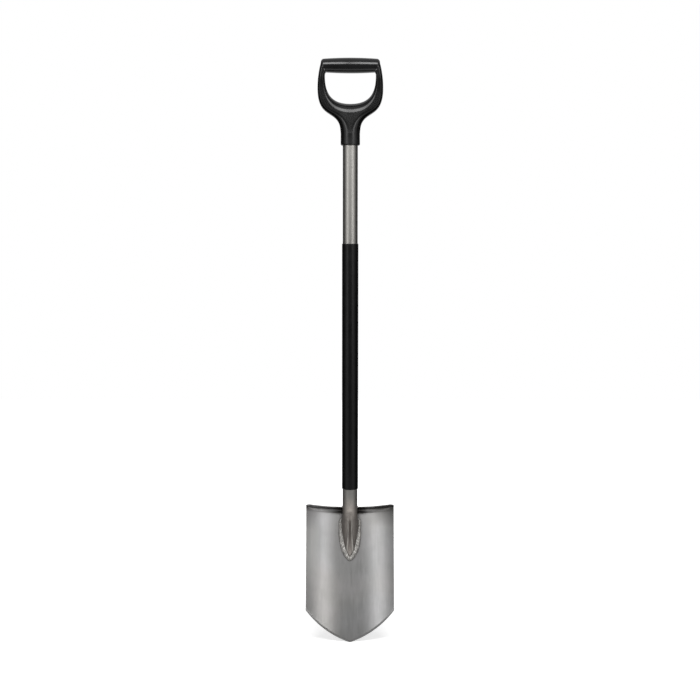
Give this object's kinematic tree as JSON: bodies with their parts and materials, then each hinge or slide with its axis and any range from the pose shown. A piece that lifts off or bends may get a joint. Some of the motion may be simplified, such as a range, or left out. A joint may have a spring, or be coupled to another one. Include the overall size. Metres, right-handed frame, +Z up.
{
  "type": "pointed spade",
  "caption": "Long handled digging spade with a dished, pointed steel blade, folded foot treads, welded tube shaft, shaft sleeve and moulded D handle.",
  "frame": {"origin": "underside of the grip bar at its middle, where a wall hook carries the spade; the spade can't stand by itself on its point", "axes": "+Z up from the point to the grip bar, +X across the blade to the right as seen from the front, -Y towards the front, where the hollow of the blade looks"},
  "size_m": [0.193, 0.1219, 1.2491],
  "materials": {
    "blade_steel": "pressed and hardened sheet with a satin grey lacquer",
    "tube_coat": "satin warm grey powder coat on steel tube",
    "weld_metal": "lumpy weld bead under the same grey lacquer",
    "sleeve_plastic": "smooth satin black polypropylene sleeve",
    "handle_plastic": "fine grained black moulded polypropylene",
    "screw_steel": "bright zinc plated steel"
  },
  "bodies": {
    "root": {"blade": "blade_steel", "shaft_tube": "tube_coat", "tongue_weld_left": "weld_metal", "tongue_weld_right": "weld_metal", "tread_weld_left": "weld_metal", "tread_weld_right": "weld_metal", "shaft_sleeve": "sleeve_plastic", "d_handle": "handle_plastic", "handle_screw": "screw_steel"}
  },
  "joints": []
}
